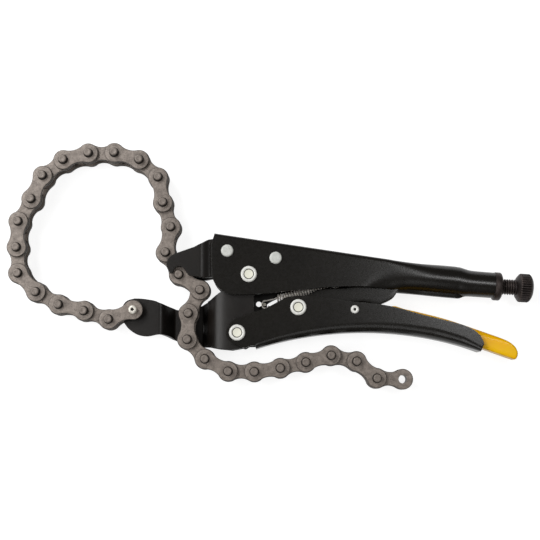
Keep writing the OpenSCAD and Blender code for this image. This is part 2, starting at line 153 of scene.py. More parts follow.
def rounded_slab(outline, spine, low, high, edge, steps=4):
    """Slab with rounded rims: from each spine point over the top face to the outline, round a quarter
    circle, down the side, round again and back under to the spine. The rims have one radius, or one for
    each point of the outline."""
    ahead = np.roll(outline, -1, axis=0) - np.roll(outline, 1, axis=0)
    out = np.stack([ahead[:, 1], -ahead[:, 0]], axis=1)
    out = out / np.linalg.norm(out, axis=1, keepdims=True)
    edge = np.broadcast_to(np.asarray(edge, float), (len(outline),))[:, None]
    a = np.linspace(0, math.pi / 2, steps + 1)
    inset = edge * (1 - np.sin(a))
    drop = edge * (1 - np.cos(a))
    inset = np.concatenate([inset, inset[:, ::-1]], axis=1)
    z = np.concatenate([high - drop, (low + drop)[:, ::-1]], axis=1)
    rim = raised(outline[:, None] - inset[..., None] * out[:, None], z)
    top, under = raised(spine, high)[:, None], raised(spine, low)[:, None]
    over = FACE_RING * rim[:, :1] + (1 - FACE_RING) * top
    below = FACE_RING * rim[:, -1:] + (1 - FACE_RING) * under
    points = np.concatenate([top, over, rim, below, under], axis=1)
    # The rims' value is painted as shade on the chain's plates.
    worn_or_shaded = np.clip(1 - inset / (RIM_SHADE_REACH * edge), 0, 1)
    face = np.zeros((len(outline), 2))
    return sheet(points, wrap_u=True, wear_and_shade=np.concatenate([face, worn_or_shaded, face], axis=1))


# A direction that no wire here runs along. It sets where each circle of a wire starts.
ASIDE = (0.3, 0.2, 0.93)


def swept(path, radius, sides=10):
    """Round wire along a path: a circle across the path's direction at each point, closed to a point at
    the ends."""
    t = np.gradient(path, axis=0)
    t = t / np.linalg.norm(t, axis=1, keepdims=True)
    u = np.cross(t, ASIDE)
    u = u / np.linalg.norm(u, axis=1, keepdims=True)
    v = np.cross(t, u)
    a = np.linspace(0, 2 * math.pi, sides, endpoint=False)
    rings = path[:, None] + radius * (np.cos(a)[None, :, None] * u[:, None]
                                      + np.sin(a)[None, :, None] * v[:, None])
    first = np.broadcast_to(path[0], (1, sides, 3))
    last = np.broadcast_to(path[-1], (1, sides, 3))
    return sheet(np.concatenate([first, rings, last]), wrap_v=True)


# Steps per millimetre within which points count as the same, and the angle past which an edge looks sharp.
MERGE_STEPS = 1e4
SHARP = math.radians(35)


def piece(name, patches, finish, body, nodes):
    """One mesh from patches: points that coincide become one, quads with a repeated corner become
    triangles, and the faces are turned outwards."""
    offsets = np.cumsum([0] + [len(p) for p, _, _ in patches])
    points = np.concatenate([p for p, _, _ in patches])
    quads = np.concatenate([q + o for (_, q, _), o in zip(patches, offsets)])
    wear_and_shade = np.concatenate([w for _, _, w in patches])
    used, quads = np.unique(quads, return_inverse=True)
    quads = quads.reshape(-1, 4)
    points, wear_and_shade = points[used], wear_and_shade[used]
    _, first, back = np.unique(np.round(points * MERGE_STEPS).astype(np.int64), axis=0, return_index=True,
                               return_inverse=True)
    points, wear_and_shade, quads = points[first], wear_and_shade[first], back.reshape(-1)[quads]
    a, b, c, d = quads.T
    same = np.stack([a == b, b == c, c == d, d == a], axis=1)
    full = quads[~same.any(axis=1)]
    one_pair = same.sum(axis=1) == 1
    pick = np.array([[0, 2, 3], [0, 1, 3], [0, 1, 2], [0, 1, 2]])
    corner = pick[same[one_pair].argmax(axis=1)]
    triangles = np.take_along_axis(quads[one_pair], corner, axis=1)
    triangles = triangles[triangles[:, 0] != triangles[:, 2]]
    mesh = bpy.data.meshes.new(name)
    mesh.from_pydata((points + [0, 0, MID_Z]) * MM, [], full.tolist() + triangles.tolist())
    mesh.attributes.new("wear_and_shade", "FLOAT", "POINT").data.foreach_set("value", wear_and_shade.astype(np.float32))
    work = bmesh.new()
    work.from_mesh(mesh)
    bmesh.ops.recalc_face_normals(work, faces=work.faces)
    work.to_mesh(mesh)
    work.free()
    mesh.polygons.foreach_set("use_smooth", np.ones(len(mesh.polygons), bool))
    mesh.set_sharp_from_angle(angle=SHARP)
    mesh.materials.append(finish)
    obj = bpy.data.objects.new(name, mesh)
    bpy.context.scene.collection.objects.link(obj)
    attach(obj, body)
    if nodes:
        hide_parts(*nodes)
    return obj


def flip_to(mesh, out):
    """Turns an open sheet so that the face farthest along a direction looks that way."""
    centres = np.zeros(len(mesh.polygons) * 3)
    normals = np.zeros(len(mesh.polygons) * 3)
    mesh.polygons.foreach_get("center", centres)
    mesh.polygons.foreach_get("normal", normals)
    far = np.argmax(centres.reshape(-1, 3) @ np.asarray(out))
    if normals.reshape(-1, 3)[far] @ np.asarray(out) < 0:
        mesh.flip_normals()


RIM_SEGMENTS = 3
RIM_ANGLE = math.radians(50)


def thicken(obj, wall, offset, rim, out=None):
    """Gives a sheet its wall and rounds the wall's edges. A direction sets which side is the outer one."""
    if out is not None:
        flip_to(obj.data, out)
    solid = obj.modifiers.new("wall", "SOLIDIFY")
    solid.thickness = wall * MM
    solid.offset = offset
    solid.use_even_offset = out is None
    bevel = obj.modifiers.new("rim", "BEVEL")
    bevel.width = rim * MM
    bevel.segments = RIM_SEGMENTS
    bevel.limit_method = "ANGLE"
    bevel.angle_limit = RIM_ANGLE


# Finishes

def linear(shade):
    """Linear colour of an sRGB hex value: a straight line near black, and the power 2.4 above it."""
    c = np.array([int(shade[i:i + 2], 16) for i in (1, 3, 5)]) / 255
    return (*np.where(c <= 0.04045, c / 12.92, ((c + 0.055) / 1.055) ** 2.4), 1.0)


def add(tree, kind, settings=None, inputs=None):
    """Adds a node, with its settings, and gives each input a value or a link."""
    node = tree.nodes.new(kind)
    for key, value in (settings or {}).items():
        setattr(node, key, value)
    for key, value in (inputs or {}).items():
        if isinstance(value, bpy.types.NodeSocket):
            tree.links.new(value, node.inputs[key])
        else:
            node.inputs[key].default_value = value
    return node


def per_mm(size):
    """Noise scale whose features are about this many millimetres across."""
    return 1 / (size * MM)


# Places of a Mix node's colour sockets.
MIX_A, MIX_B, MIX_OUT = 6, 7, 2
# The wear value that stands for painted shade instead of a rubbed edge: dark in rivet grooves and dimples, at the
# pins' feet and on the bushes and rollers between the plates. Then its tone and that of the flecks.
PAINTED_SHADE = 3.0
PAINTED_SHADE_TONE = "#26221f"
FLECK_TONE = "#55504a"
COAT_ROUGHNESS = 0.12


def surface(name, dark, light, rough, mottle, grain, grain_depth, metallic=0.0, worn_or_shaded=None, coat=0.0,
            specular=0.5, wear_by=(0.35, 0.9), speck=0.0):
    """A finish: two tones mixed by a mottle of one size, a grain of a finer size in height and roughness, and a
    third tone, from one level of wear to another, which is worn edges or, on the chain, painted shade along the
    rims; where the value reaches the shade value the colour is painted shade. Sizes are in millimetres."""
    material = bpy.data.materials.new(name)
    material.use_nodes = True
    tree = material.node_tree
    tree.nodes.clear()
    place = add(tree, "ShaderNodeTexCoord").outputs["Object"]
    cloud = add(tree, "ShaderNodeTexNoise", None,
                {"Vector": place, "Scale": per_mm(mottle), "Detail": 5.0, "Roughness": 0.6}).outputs["Fac"]
    fine = add(tree, "ShaderNodeTexNoise", None,
               {"Vector": place, "Scale": per_mm(grain), "Detail": 3.0, "Roughness": 0.55}).outputs["Fac"]
    tone = add(tree, "ShaderNodeMapRange", None,
               {"Value": cloud, "From Min": 0.35, "From Max": 0.65}).outputs["Result"]
    colour = add(tree, "ShaderNodeMix", {"data_type": "RGBA"},
                 {0: tone, MIX_A: linear(dark), MIX_B: linear(light)}).outputs[MIX_OUT]
    if speck:
        fleck = add(tree, "ShaderNodeMapRange", None,
                    {"Value": fine, "From Min": 0.55, "From Max": 0.7, "To Max": speck}).outputs["Result"]
        colour = add(tree, "ShaderNodeMix", {"data_type": "RGBA", "blend_type": "MULTIPLY"},
                     {0: fleck, MIX_A: colour, MIX_B: linear(FLECK_TONE)}).outputs[MIX_OUT]
    if worn_or_shaded:
        wear_and_shade = add(tree, "ShaderNodeAttribute", {"attribute_name": "wear_and_shade"}).outputs["Fac"]
        patchy = add(tree, "ShaderNodeMath", {"operation": "MULTIPLY_ADD"},
                     {0: cloud, 1: 0.8, 2: -0.4}).outputs["Value"]
        edge = add(tree, "ShaderNodeMath", {"operation": "ADD"}, {0: wear_and_shade, 1: patchy}).outputs["Value"]
        edge = add(tree, "ShaderNodeMapRange", None,
                   {"Value": edge, "From Min": wear_by[0], "From Max": wear_by[1]}).outputs["Result"]
        colour = add(tree, "ShaderNodeMix", {"data_type": "RGBA"},
                     {0: edge, MIX_A: colour, MIX_B: linear(worn_or_shaded)}).outputs[MIX_OUT]
        # Where the value reaches the shade value, the colour turns to the painted shade tone.
        painted_shade_mix = add(tree, "ShaderNodeMapRange", None,
                   {"Value": wear_and_shade, "From Min": PAINTED_SHADE / 2, "From Max": PAINTED_SHADE}).outputs["Result"]
        colour = add(tree, "ShaderNodeMix", {"data_type": "RGBA"},
                     {0: painted_shade_mix, MIX_A: colour, MIX_B: linear(PAINTED_SHADE_TONE)}).outputs[MIX_OUT]
    low, high = rough
    gloss = add(tree, "ShaderNodeMapRange", None,
                {"Value": fine, "From Min": 0.3, "From Max": 0.7, "To Min": low, "To Max": high})
    bump = add(tree, "ShaderNodeBump", None,
               {"Height": fine, "Strength": 1.0, "Distance": grain_depth * MM})
    shader = add(tree, "ShaderNodeBsdfPrincipled", None,
                 {"Base Color": colour, "Roughness": gloss.outputs["Result"],
                  "Normal": bump.outputs["Normal"], "Metallic": metallic, "Coat Weight": coat,
                  "Coat Roughness": COAT_ROUGHNESS, "Specular IOR Level": specular})
    add(tree, "ShaderNodeOutputMaterial", None, {"Surface": shader.outputs["BSDF"]})
    return material


# Stoved black enamel on pressed sheet: a soft, wide gloss, broken by orange peel about 1.5 mm across.
enamel = surface("semi_gloss_black_enamel", "#100e0c", "#151310", (0.25, 0.31), 22, 1.5, 0.001,
                 specular=0.42)
# The jaws have a thinner coat of the same enamel over a rougher pressing: duller and deeper black.
jaw_enamel = surface("satin_black_enamel", "#0f0c0a", "#15110e", (0.34, 0.42), 16, 1.2, 0.010,
                     specular=0.38)
# Black oxide on turned steel: a dull brownish black that keeps some metal gloss. The turning marks are too
# fine to show, so the grain is drawn 0.5 mm across.
oxide = surface("black_oxide_steel", "#2b2625", "#3a3332", (0.40, 0.55), 6, 0.5, 0.012, metallic=0.7,
                worn_or_shaded="#5a504c")
# Zinc-plated upset rivets: pale, almost white metal with a matte speckle from the riveting tool, drawn
# 0.5 mm across, coarser than it is, so that it shows.
plated = surface("zinc_plated_rivet_steel", "#dfdfda", "#f0f0ec", (0.42, 0.58), 1.6, 0.5, 0.020,
                 metallic=0.15, worn_or_shaded="#ecebdc", wear_by=(0.45, 0.9), speck=0.25)
# The rivets of the hook plates are peened flat and left duller and greyer.
peened = surface("peened_rivet_steel", "#c4c6c1", "#d6d8d3", (0.50, 0.65), 1.6, 0.5, 0.020,
                 metallic=0.15, speck=0.3)
# Plain turned steel inside the tool: grey, lightly oiled.
turned_steel = surface("oiled_turned_steel", "#8c8880", "#a6a29a", (0.32, 0.45), 5, 0.6, 0.010, metallic=0.9)
# Phosphated roller chain steel: brown-grey and finely mottled, with painted shade along the rims and on the pins'
# sides, and a painted contact shadow round the pins. Its crystals are too fine to show, so the grain is drawn 0.7
# mm across.
chain_steel = surface("phosphated_chain_steel", "#726962", "#91877f", (0.42, 0.58), 2.6, 0.7, 0.030,
                      metallic=0.25, worn_or_shaded="#2f2925", speck=0.5)
# Polished end of the anchor pin: a bright, warm grey.
bright_pin = surface("polished_pin_steel", "#ddd8cd", "#f0ece3", (0.30, 0.40), 1.2, 0.5, 0.008, metallic=0.3,
                     worn_or_shaded="#f0ece3")
# Cold-drawn spring wire: clean grey with a bright line along each turn.
wire_steel = surface("drawn_spring_wire", "#d2ccc5", "#e6e1da", (0.25, 0.36), 3, 0.5, 0.006, metallic=0.3)
# Dipped PVC plastisol: thick, soft, glossy yellow skin with slow runs a few millimetres across.
vinyl = surface("dipped_yellow_vinyl", "#ffba00", "#ffc800", (0.28, 0.38), 14, 3.5, 0.020, coat=0.1,
                specular=0.15)
# Matt paper under the tool: a pale glow where it is seen or mirrored, and grey in its own right, so that
# shadows show on it and it throws little light back.
FLOOR_GLOW = 0.86
paper = bpy.data.materials.new("pale_paper_floor")
paper.use_nodes = True
paper_tree = paper.node_tree
paper_tree.nodes.clear()
ray = add(paper_tree, "ShaderNodeLightPath").outputs
seen = add(paper_tree, "ShaderNodeMath", {"operation": "MAXIMUM"},
           {0: ray["Is Camera Ray"], 1: ray["Is Glossy Ray"]}).outputs["Value"]
seen = add(paper_tree, "ShaderNodeMath", {"operation": "MAXIMUM"},
           {0: seen, 1: ray["Is Transmission Ray"]}).outputs["Value"]
glow = add(paper_tree, "ShaderNodeMath", {"operation": "MULTIPLY"},
           {0: seen, 1: FLOOR_GLOW}).outputs["Value"]
pale = add(paper_tree, "ShaderNodeBsdfDiffuse", None, {"Color": linear("#9a9a9a")}).outputs["BSDF"]
lit = add(paper_tree, "ShaderNodeEmission", None, {"Strength": glow}).outputs["Emission"]
both = add(paper_tree, "ShaderNodeAddShader", None, {0: pale, 1: lit}).outputs["Shader"]
add(paper_tree, "ShaderNodeOutputMaterial", None, {"Surface": both})


# Upper handle

HALF_GAP = 6.6
UPPER_WALL = 2.2
UPPER_HALF = HALF_GAP + UPPER_WALL
UPPER_RIM = 0.7
FOLD_R = 2.3
SCREW_TILT = math.radians(-3.5)
SCREW_DIR = np.array([math.cos(SCREW_TILT), math.sin(SCREW_TILT), 0.0])
TAIL_END = np.array([151.3, -6.5])
TAIL_R = 7.9
CROWN_LINE = [[-20.8, 25.2], [-14, 24.1], [40, 16.0], [80, 10.0], [92, 8.3], [104, 7.3], [118, 6.4],
              [128.5, 5.3], [136, 3.2], [151.3, 1.8]]
UPPER_FREE = [[-8.5, -12.3], [-2, -12.3], [9, -11.8], [20, -10.6], [31.1, -9.6], [43, -8.3],
              [55.5, -7.5], [70, -7.4], [84.2, -8.8], [90.9, -10.4], [108, -12.4], [126.3, -14.1],
              [129.2, -13.9], [132.6, -12.7], [142, -13.2], [151.3, -13.8]]
FRONT_CENTRE = (-8.5, 1.9)
FRONT_R = 14.2
FRONT_EDGE = [[-22.8, 10], [-22.9, 18.5]]
# Half width of the closed part: places along X and the values there.
TAIL_HALF = ([60, 100, 124, 136, 151.3], [UPPER_HALF, UPPER_HALF, 8.5, 8.0, TAIL_R])
# The oval begins between two places along X, earlier for points below a level and later above it.
OVAL_BEGINS = (66, 108)
OVAL_LEAN = 0.9
OVAL_LEVEL = -9
# Lip at the seam: how far it hangs, its half width, how much wider it gets, how far it tucks in, and
# where along X it begins and ends.
LIP_DEPTH = 2.2
LIP_HALF = 1.0
LIP_SPREAD = 1.5
LIP_TUCK = 0.6
LIP_BEGINS = (84, 96)
LIP_ENDS = (127, 132.5)
SPREAD_ENDS = (126, 133)
# Shares of half an oval, from the seam to the crown: the wall with the lip at its start, the fold and the
# top.
LIP_SHARE = 0.1
WALL_SHARE, FOLD_SHARE, TOP_SHARE = 0.6, 0.25, 0.15


def upper_handle():
    """Folded channel that closes into a round tail. The wall is a patch between its four edges, carried
    over the fold by a quarter circle to the crown and mirrored to the other side. Along X each section goes
    over into an oval of the same height, with a straight lip at the seam that ends before the tail."""
    columns, rows, turns, flats = 150, 18, 9, 5
    crown = through(CROWN_LINE, columns)
    ahead = np.gradient(crown, axis=0)
    up = np.stack([-ahead[:, 1], ahead[:, 0]], axis=1)
    up = up / np.linalg.norm(up, axis=1, keepdims=True)
    free = through(UPPER_FREE, columns)
    shoulder = crown - FOLD_R * up
    west = np.vstack([arc(FRONT_CENTRE, FRONT_R, 270, 180, 40), FRONT_EDGE, [shoulder[0]]])
    west = resample(west, rows)
    east = resample([free[-1], shoulder[-1]], rows)
    wall = raised(coons(free, shoulder, west, east), UPPER_HALF)
    a = np.radians(np.linspace(0, 90, turns))[1:]
    fold = raised(shoulder[:, None] + FOLD_R * np.sin(a)[None, :, None] * up[:, None],
                  UPPER_HALF - FOLD_R + FOLD_R * np.cos(a))
    z = np.linspace(UPPER_HALF - FOLD_R, 0, flats)[1:]
    top = raised(np.broadcast_to(crown[:, None], (columns, len(z), 2)), z)
    square = np.concatenate([wall, fold, top], axis=1)
    share = np.concatenate([np.linspace(0, WALL_SHARE, rows),
                            WALL_SHARE + FOLD_SHARE * np.linspace(0, 1, turns)[1:],
                            WALL_SHARE + FOLD_SHARE + TOP_SHARE * np.linspace(0, 1, flats)[1:]])[None]
    x = square[..., 0]
    y_top = np.interp(x, crown[:, 0], crown[:, 1])
    y_low = np.interp(x, free[:, 0], free[:, 1])
    lip = LIP_DEPTH * ramp(x, *LIP_BEGINS) * (1 - ramp(x, *LIP_ENDS))
    lip_z = LIP_HALF + LIP_SPREAD * ramp(x, *LIP_BEGINS) * (1 - ramp(x, *SPREAD_ENDS))
    half_z = np.interp(x, *TAIL_HALF)
    centre = (y_top + y_low + lip) / 2
    height = (y_top - y_low - lip) / 2
    start = -np.arccos(np.clip(lip_z / half_z, 0, 1))
    turn = np.clip((share - LIP_SHARE) / (1 - LIP_SHARE), 0, 1)
    angle = start + (math.pi / 2 - start) * turn
    in_lip = np.clip(1 - share / LIP_SHARE, 0, 1)
    oval = np.stack([x, centre + height * np.sin(angle) - lip * in_lip,
                     half_z * np.cos(angle) - LIP_TUCK * in_lip], axis=-1)
    blend = ramp(x - OVAL_LEAN * (square[..., 1] - OVAL_LEVEL), *OVAL_BEGINS)[..., None]
    return [sheet(mirrored(square * (1 - blend) + oval * blend))]


handle = piece("upper_handle_shell", upper_handle(), enamel, "upper_handle", ["upper_handle"])
thicken(handle, UPPER_WALL, -1, UPPER_RIM, out=(0, 1, 0))


# Lower handle

LOWER_WALL = 2.0
LOWER_HALF = HALF_GAP + LOWER_WALL
LOWER_RIM = 0.5
HANDLE_PIVOT = np.array([-7, -35.4])
EAR_R = 7
FOLD_CROWN = np.array([69.5, -35.0])
FOLD_ARC_R = 218.0
FOLD_START = 4.3
BACK_REACH = (-8.5, 140)
LOWER_FREE = [[-12.4, -31], [-8.4, -27], [-2, -24.2], [5.5, -22.2], [10.4, -20.6], [14.6, -18.4],
              [19.4, -15.8], [25, -13.6], [36, -13.2], [48, -14.2], [60, -16.2], [70, -17.2],
              [78.4, -18.2], [84, -19.1], [91.2, -20.7], [103.2, -24.1], [118.6, -27.9], [128.9, -30.7],
              [135.4, -33.6], [139.6, -37.2]]
# Radius of the fold: places along X and the values there.
FOLD_RADII = ([4, 30, 80, 112, 128, 140], [3.5, 4.6, 6.0, 6.4, 5.4, 2.6])
# The ears' lower edge: their circle goes over into a foot, which rises to the fold and stops short of it.
EAR_FADES = (-8, -2.5)
EAR_GAP = 0.1
FOOT_LOW = -44.8
FOOT_RISE = 1.4
FOOT_RISES = (-2.4, 0.2)
# The back starts level and takes on the arc's slope up to this place along X.
SLOPE_FROM = 25
GRIP_END = [141.6, -41.8]


def fold_line(x):
    """Height of the lower handle's back: a circle about a point far below."""
    return FOLD_CROWN[1] - FOLD_ARC_R + np.sqrt(FOLD_ARC_R ** 2 - (x - FOLD_CROWN[0]) ** 2)


def lower_handle():
    """Folded channel, open at the top. The wall is a patch between the open edge and the fold, which widens
    towards the grip's end, and a quarter circle and the floor follow. The ears in front have no floor."""
    columns, rows = 170, 16
    free = through(LOWER_FREE, columns)
    x_back = np.linspace(*BACK_REACH, columns)
    step = np.argmin(np.abs(x_back - FOLD_START))
    x_back[step] = FOLD_START
    radius = np.interp(x_back, *FOLD_RADII)[:, None]
    slope = np.gradient(fold_line(x_back), x_back) * ramp(x_back, FOLD_START, SLOPE_FROM)
    ahead = np.stack([np.ones(columns), slope], axis=1)
    down = np.stack([ahead[:, 1], -ahead[:, 0]], axis=1) / np.linalg.norm(ahead, axis=1, keepdims=True)
    shoulder = np.stack([x_back, fold_line(x_back)], axis=1) - radius * down
    ear_low = HANDLE_PIVOT[1] - np.sqrt(np.clip(EAR_R ** 2 - (x_back - HANDLE_PIVOT[0]) ** 2, 0, None))
    foot = FOOT_LOW + FOOT_RISE * ramp(x_back, *FOOT_RISES)
    blend = ramp(x_back, *EAR_FADES)
    shoulder[:, 1] = np.where(x_back < FOLD_START, ear_low * (1 - blend) + foot * blend, shoulder[:, 1])
    shoulder[:step, 0] = np.linspace(x_back[0], shoulder[step, 0] - EAR_GAP, step)
    west = resample(np.vstack([[free[0]], arc(HANDLE_PIVOT, EAR_R, 160, 252, 12), [shoulder[0]]]), rows)
    east = through([free[-1], GRIP_END, shoulder[-1]], rows)
    wall = raised(coons(free, shoulder, west, east), LOWER_HALF)
    a = np.radians(np.linspace(0, 90, 10))[1:]
    fold = raised(shoulder[:, None] + (radius * np.sin(a))[..., None] * down[:, None],
                  LOWER_HALF - radius * (1 - np.cos(a)))
    t = np.linspace(1, 0, 4)[1:]
    crease = (shoulder + radius * down)[:, None]
    floor = raised(np.broadcast_to(crease, (columns, len(t), 2)), (LOWER_HALF - radius) * t)
    points = mirrored(np.concatenate([wall, fold, floor], axis=1))
    keep = np.ones(points.shape[:2], bool)
    keep[:step, rows - 1:points.shape[1] - rows] = False
    return [sheet(points, keep=keep)]


grip = piece("lower_handle_shell", lower_handle(), enamel, "lower_handle", ["lower_handle"])
thicken(grip, LOWER_WALL, -1, LOWER_RIM, out=(0, -1, 0))


# Hook plates

PLATE = 2.6
PLATE_Z = 5.2
PLATE_RIM = 0.5
FORK_STEP = 2.7
FORK_BEGINS = (23.2, 29.8)
SEAT = joints["chain_hinge_19"][:2]
NOTCH_CENTRE = SEAT + [0.4, 1.2]
NOTCH_R = 3.5


def hook_plate(side):
    """Flat pressing with a notch for a chain pin: a patch between its edges, stepped outwards in Z by a
    smooth ramp where the fork begins."""
    notch = arc(NOTCH_CENTRE, NOTCH_R, 184, 50, 20)
    south = np.vstack([
        [SEAT + [-5, 0.6]], [SEAT + [-3.6, 0.6]], notch, [SEAT + [6.0, -0.6]], [SEAT + [6.9, -0.9]],
        [[-27.5, -2.2], [-21, -1.4], [-15, 3], [-9, 9.6], [9, 8.4], [13, 5], [20, 4.2]]])
    north = np.vstack([
        [SEAT + [-4.5, 11]], [SEAT + [-2.6, 12.2]], [SEAT + [-0.5, 13]],
        [[-33, 16.6], [-29, 18.8], [-25, 21.4], [-21.4, 21.8], [-13, 20], [21.5, 13.2]]])
    west = through([SEAT + [-5, 0.6], SEAT + [-6.4, 2.6], SEAT + [-7.2, 5.6], SEAT + [-6.6, 8.6],
                    SEAT + [-4.5, 11]], 18)
    east = resample([[20, 4.2], [22.5, 8], [21.5, 13.2]], 18)
    flat = coons(resample(south, 170), resample(north, 170), west, east)
    z = PLATE_Z + FORK_STEP * ramp(-flat[..., 0], *FORK_BEGINS)
    return [sheet(raised(flat, side * z))]


for side, place in ((1, "front"), (-1, "rear")):
    plate = piece("hook_plate_" + place + "_pressing", hook_plate(side), jaw_enamel, "upper_handle",
                  ["hook_plate_" + place])
    thicken(plate, PLATE, 0, PLATE_RIM)


# Lower jaw

ANCHOR = joints["chain_hinge_01"][:2]
HOOK_HOLE = np.array([5.9, -17.0])
HOOK_HOLE_R = 1.7
JAW_BEND = 3.4
JAW_BEND_X = -19.8
JAW_BEND_SLOPE = 0.78
NECK_STEP = 3.7
NECK_BEGINS = (22.6, 28.8)
LUG_STEP = 8.9
LUG_BEGINS = (45.6, 55)
JAW_TOP = [[-22.6, -14.9], [-16.5, -10.0], [-11, -3], [-6, 4.5], [0, 7.6]]
JAW_FOOT = [[-17.7, -45], [-10, -45.7], [-3, -44.4]]


def jaw_front():
    """Front pressing: a patch between its edges that turns down to the rear plate along a rounded bend.
    The drop is a slope times the sum of the distance past the bend and the root of its square and a small
    square."""
    columns, rows = 90, 50
    south = resample([[-24.4, -43.6]] + JAW_FOOT, columns)
    north = resample([[-24.4, -15.7]] + JAW_TOP, columns)
    west = resample([south[0], north[0]], rows)
    east = resample([south[-1], [1.5, -40], [3, -36], [3, -14], [5, -4], north[-1]], rows)
    flat = coons(south, north, west, east)
    d = JAW_BEND_X - flat[..., 0]
    z = PLATE_Z - JAW_BEND_SLOPE * (d + np.sqrt(d * d + JAW_BEND ** 2))
    return [sheet(raised(flat, z))]


def jaw_rear():
    """Rear pressing from the lug to the tab: a patch between its edges with two smooth steps in Z, and a
    ring patch round the hole of the tab, from the circle straight out to the tab's edge."""
    columns, rows = 170, 50
    south = resample(np.vstack([
        through([[-76, -29.4], [-73, -33], [-68, -36.2], [-62, -37.2], [-55, -36], [-50, -37], [-45, -39.6],
                 [-38, -42], [-31, -43.3], [-24, -43.8]], 80), JAW_FOOT]), columns)
    north = resample(np.vstack([
        through([ANCHOR + [0, 7.4], [-66, -14.1], [-62, -14.6], [-57, -15.6], [-51.2, -18.3], [-43, -20.6],
                 [-36, -20.2], [-29, -17.8], [-22.6, -14.9]], 80), JAW_TOP[1:]]), columns)
    west = through([south[0], ANCHOR + [-7.2, -3], ANCHOR + [-7.1, 2.2], ANCHOR + [-4.6, 5.8], north[0]],
                   rows)
    east = resample([south[-1], [1, -38], [1, -4], north[-1]], rows)
    flat = coons(south, north, west, east)
    left = -flat[..., 0]
    z = -PLATE_Z - NECK_STEP * ramp(left, *NECK_BEGINS) + LUG_STEP * ramp(left, *LUG_BEGINS)
    shared = east[(east[:, 1] > -38.2) & (east[:, 1] < -3.8)]
    tab = resample([shared[-1], [8.2, -4.2], [18, -9.4], [19.5, -12.6], [14, -15.2], [11, -17],
                    [11, -27.4], [3.2, -37], shared[0]], 60)
    loop = np.vstack([shared, tab[1:-1]])
    out = loop - HOOK_HOLE
    rim = HOOK_HOLE + HOOK_HOLE_R * out / np.linalg.norm(out, axis=1, keepdims=True)
    t = np.linspace(0, 1, 6)[None, :, None]
    ring = rim[:, None] * (1 - t) + loop[:, None] * t
    return [sheet(raised(flat, z)), sheet(raised(ring, -PLATE_Z), wrap_u=True)]


front_jaw = piece("lower_jaw_front_pressing", jaw_front(), jaw_enamel, "lower_jaw", ["lower_jaw_front"])
thicken(front_jaw, PLATE, 0, PLATE_RIM)
rear_jaw = piece("lower_jaw_rear_pressing", jaw_rear(), jaw_enamel, "lower_jaw", ["lower_jaw_rear"])
thicken(rear_jaw, PLATE, 0, PLATE_RIM)


# Rivets

# Head faces as radius and height pairs, from the middle out.
PIVOT_FACE = [(0, 0.92), (1.1, 0.94), (2.2, 1.08), (2.6, 1.12), (2.7, 0.6), (3.05, 0.6), (3.15, 1.22),
              (3.5, 1.36), (3.9, 1.4), (4.3, 1.34), (4.65, 1.12), (4.85, 0.8), (4.9, 0.55), (4.9, 0)]
HOOK_FACE = [(0, 1.36), (1.2, 1.38), (2.4, 1.4), (3.05, 1.38), (3.4, 1.24), (3.65, 0.9), (3.75, 0.5),
             (3.75, 0)]
LEVER_FACE = [(0, 0.1), (0.5, 0.1), (0.75, 0.3), (0.85, 0.95), (1.1, 1.1), (1.5, 1.2), (1.9, 1.14),
              (2.25, 0.92), (2.45, 0.6), (2.55, 0.35), (2.55, 0)]
# The tint's radius on a pivot's head, and rings of painted shade in the groove or dimple as a radius and a half
# width.
PIVOT_TINT = 2.65
PIVOT_GROOVE = (2.88, 0.2)
LEVER_DIMPLE = (0.3, 0.5)
PIVOT_SHANK = 3.5
HOOK_SHANK = 2.5
TOGGLE_SHANK = 2.8
LEVER_SHANK = 1.8
HOOK_RIVETS = [(-13.1, 14.2), (16.2, 9.8)]
TOGGLE_PIVOT = (29.9, -20.1)
LEVER_PIVOT = (64, -21.4)


def rivet(centre, face, inner, shank, tint, shade_ring=(0, 0)):
    """Rivet turned about Z: the head's face on both ends, joined by the shank. The groove or dimple is painted
    dark as shade, a ring of one radius and half width."""
    head = np.array(face) + [0, inner]
    profile = np.concatenate([head, [[shank, inner], [shank, 0]]])
    mirror = profile[-2::-1] * [1, -1]
    profile = np.concatenate([profile, mirror])
    tinted = np.where(profile[:, 0] < tint, 1.0, 0.0)
    tinted[np.abs(profile[:, 0] - shade_ring[0]) < shade_ring[1]] = PAINTED_SHADE
    return turned(profile, [*centre, 0], sides=64, wear_and_shade=tinted)


def rivet_heads(name, node, body, finish, centres, *shape):
    """Rivets of one shape as one piece."""
    piece(name, [rivet(centre, *shape) for centre in centres], finish, body, [node])


rivet_heads("jaw_pivot_rivet_heads", "jaw_pivot_rivet", "upper_handle", plated, [(0, 0)],
            PIVOT_FACE, UPPER_HALF, PIVOT_SHANK, PIVOT_TINT, PIVOT_GROOVE)
rivet_heads("hook_rivet_heads", "hook_rivets", "upper_handle", peened, HOOK_RIVETS,
            HOOK_FACE, UPPER_HALF, HOOK_SHANK, 0)
rivet_heads("handle_pivot_rivet_heads", "handle_pivot_rivet", "lower_jaw", plated, [HANDLE_PIVOT],
            PIVOT_FACE, LOWER_HALF + 0.1, PIVOT_SHANK, PIVOT_TINT, PIVOT_GROOVE)
rivet_heads("toggle_rivet_heads", "toggle_rivet", "lower_handle", plated, [TOGGLE_PIVOT],
            PIVOT_FACE, LOWER_HALF, TOGGLE_SHANK, PIVOT_TINT, PIVOT_GROOVE)
rivet_heads("lever_rivet_heads", "lever_rivet", "lower_handle", plated, [LEVER_PIVOT],
            LEVER_FACE, LOWER_HALF, LEVER_SHANK, 0, LEVER_DIMPLE)


# Adjusting screw and collar

COLLAR_L = 3.6
COLLAR_R = 8.6
COLLAR_BORE = 5.0
THREAD_BARE = 8.4
THREAD_TRAVEL = 13
THREAD_PITCH = 1.5
THREAD_DEPTH = 0.75
THREAD_POWER = 0.8
THREAD_RUN_IN = 1.5
THREAD_RUN_OUT = 1.2
THREAD_WEAR = 0.7
SCREW_R = 4.8
POINT_R = 2.6
KNOB_R = 8.7
KNOB_L = 9.6
TIP_REACH = 54
SCREW_AT = np.array([*TAIL_END, 0])
